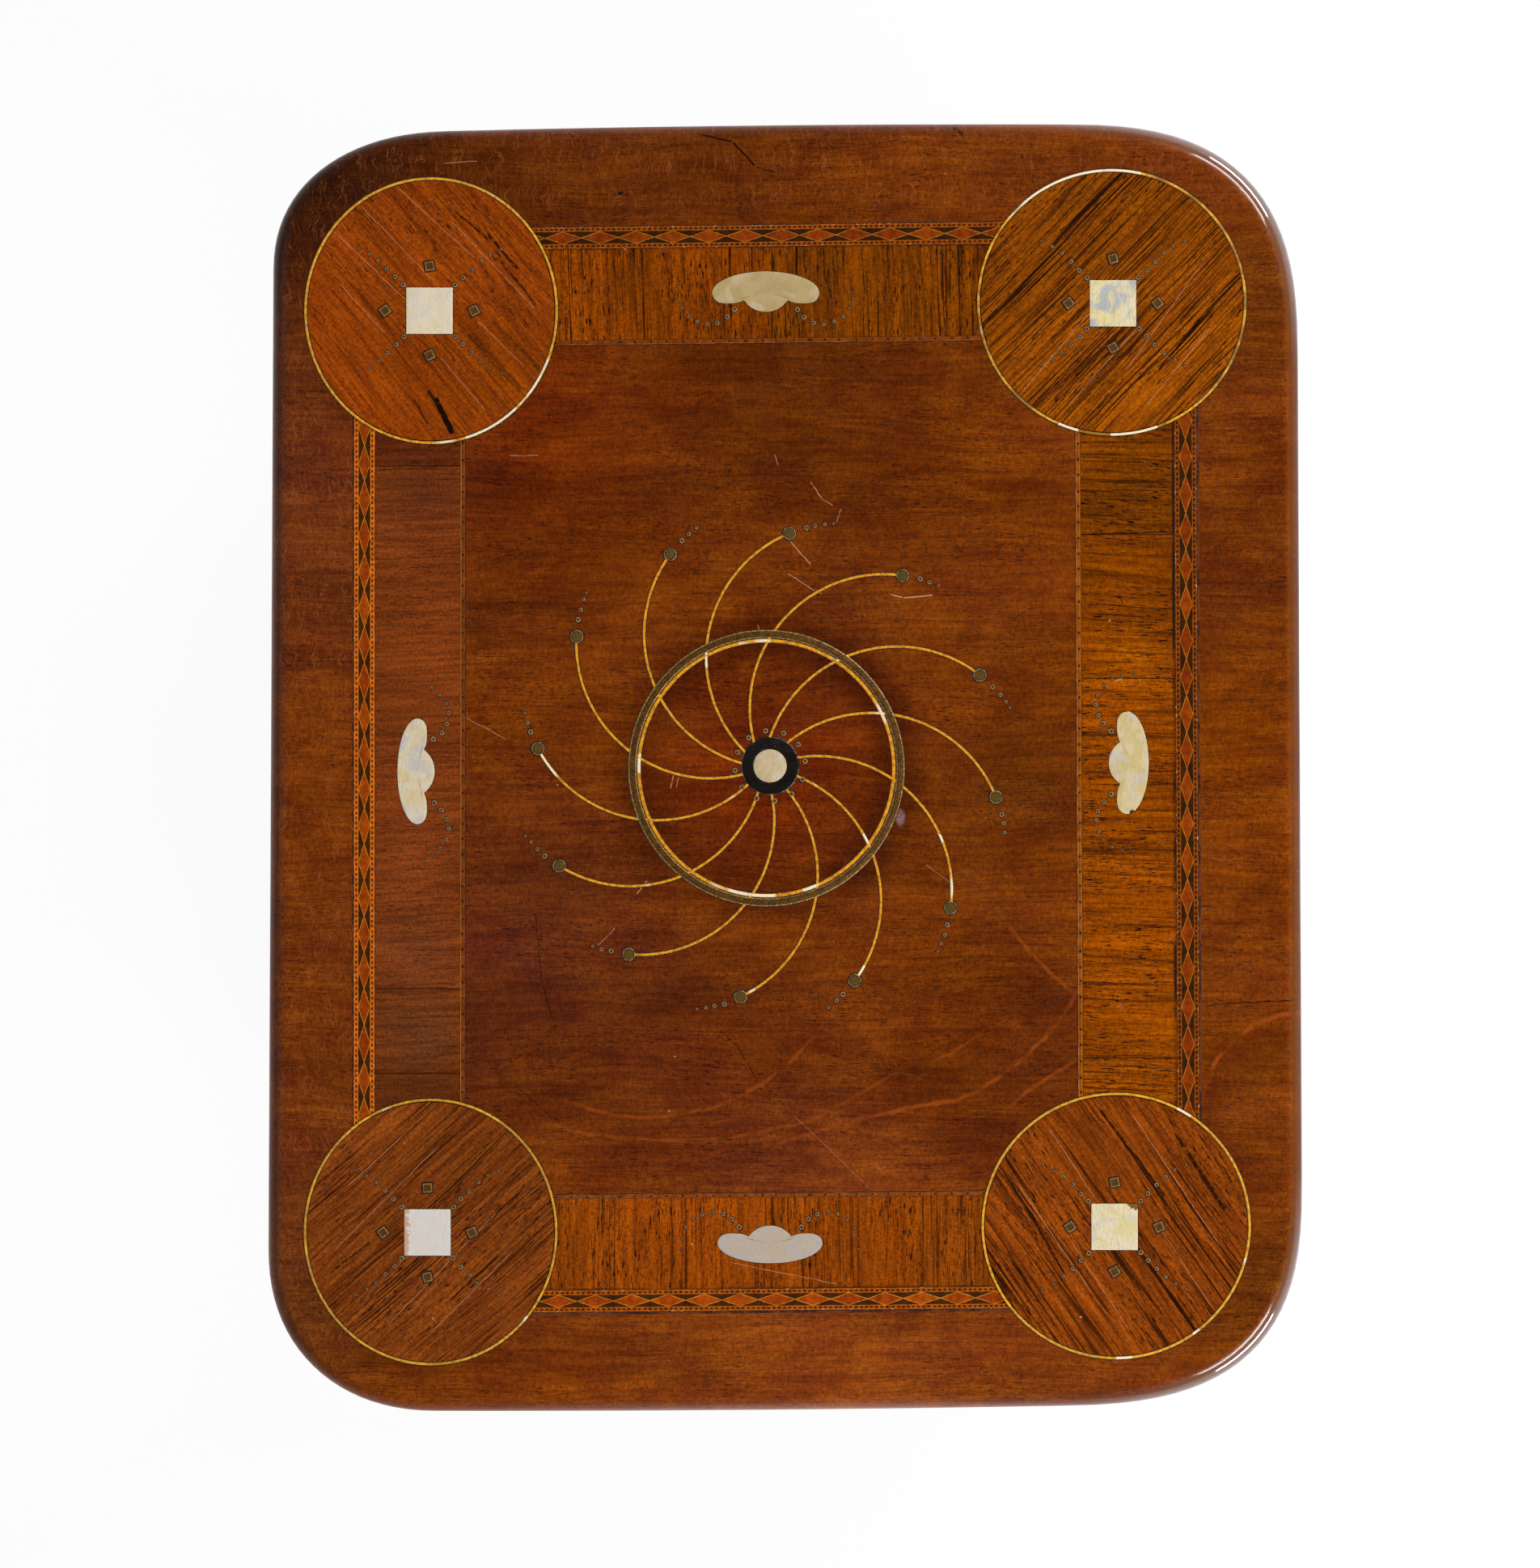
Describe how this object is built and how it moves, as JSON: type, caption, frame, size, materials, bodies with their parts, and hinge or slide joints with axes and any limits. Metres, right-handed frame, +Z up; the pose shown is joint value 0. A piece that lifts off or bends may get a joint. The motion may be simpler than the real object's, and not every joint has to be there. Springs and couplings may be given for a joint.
{
  "type": "side table",
  "caption": "Occasional table with a round-cornered top inlaid with roundels, banding, pearl and a curved-string whirl, on tapered legs with a low shelf.",
  "frame": {"origin": "on the floor, under the middle of the top", "axes": "+Z up, +Y towards the back edge of the top, +X towards its right edge as the picture shows it; the top is longest along Y"},
  "size_m": [0.4519, 0.5625, 0.7],
  "materials": {
    "top_wood": "old French-polished mahogany, satin to gloss",
    "base_wood": "old French-polished mahogany, satin",
    "roundel_rosewood": "polished rosewood with dark streaks",
    "crossband_rosewood": "polished rosewood, grain across the band",
    "edging_string": "polished boxwood",
    "whirl_string": "polished boxwood",
    "diamond_banding": "polished banding of light, red and black woods",
    "dotted_line": "polished boxwood with dark dots",
    "ebony": "polished ebony",
    "mother_of_pearl": "polished mother-of-pearl",
    "brass": "dark aged brass"
  },
  "bodies": {
    "root": {"apron_back": "base_wood", "apron_front": "base_wood", "apron_left": "base_wood", "apron_right": "base_wood", "corner_block_back_left": "base_wood", "corner_block_back_right": "base_wood", "corner_block_front_left": "base_wood", "corner_block_front_right": "base_wood", "crossband_back": "crossband_rosewood", "crossband_front": "crossband_rosewood", "crossband_left": "crossband_rosewood", "crossband_right": "crossband_rosewood", "diamond_banding_back": "diamond_banding", "diamond_banding_front": "diamond_banding", "diamond_banding_left": "diamond_banding", "diamond_banding_right": "diamond_banding", "dotted_line_back": "dotted_line", "dotted_line_front": "dotted_line", "dotted_line_left": "dotted_line", "dotted_line_right": "dotted_line", "end_rail_back": "base_wood", "end_rail_front": "base_wood", "hub_pearl": "mother_of_pearl", "hub_ring": "ebony", "leg_back_left": "base_wood", "leg_back_right": "base_wood", "leg_front_left": "base_wood", "leg_front_right": "base_wood", "pearl_cloud_back": "mother_of_pearl", "pearl_cloud_front": "mother_of_pearl", "pearl_cloud_left": "mother_of_pearl", "pearl_cloud_right": "mother_of_pearl", "pearl_square_back_left": "mother_of_pearl", "pearl_square_back_right": "mother_of_pearl", "pearl_square_front_left": "mother_of_pearl", "pearl_square_front_right": "mother_of_pearl", "roundel_back_left": "roundel_rosewood", "roundel_back_right": "roundel_rosewood", "roundel_edging_back_left": "edging_string", "roundel_edging_back_right": "edging_string", "roundel_edging_front_left": "edging_string", "roundel_edging_front_right": "edging_string", "roundel_front_left": "roundel_rosewood", "roundel_front_right": "roundel_rosewood", "shelf": "base_wood", "top_board": "top_wood", "whirl_ring_brass": "brass", "whirl_ring_string": "whirl_string", "whirl_string_01": "whirl_string", "whirl_string_02": "whirl_string", "whirl_string_03": "whirl_string", "whirl_string_04": "whirl_string", "whirl_string_05": "whirl_string", "whirl_string_06": "whirl_string", "whirl_string_07": "whirl_string", "whirl_string_08": "whirl_string", "whirl_string_09": "whirl_string", "whirl_string_10": "whirl_string", "whirl_string_11": "whirl_string", "whirl_string_12": "whirl_string"}
  },
  "joints": []
}
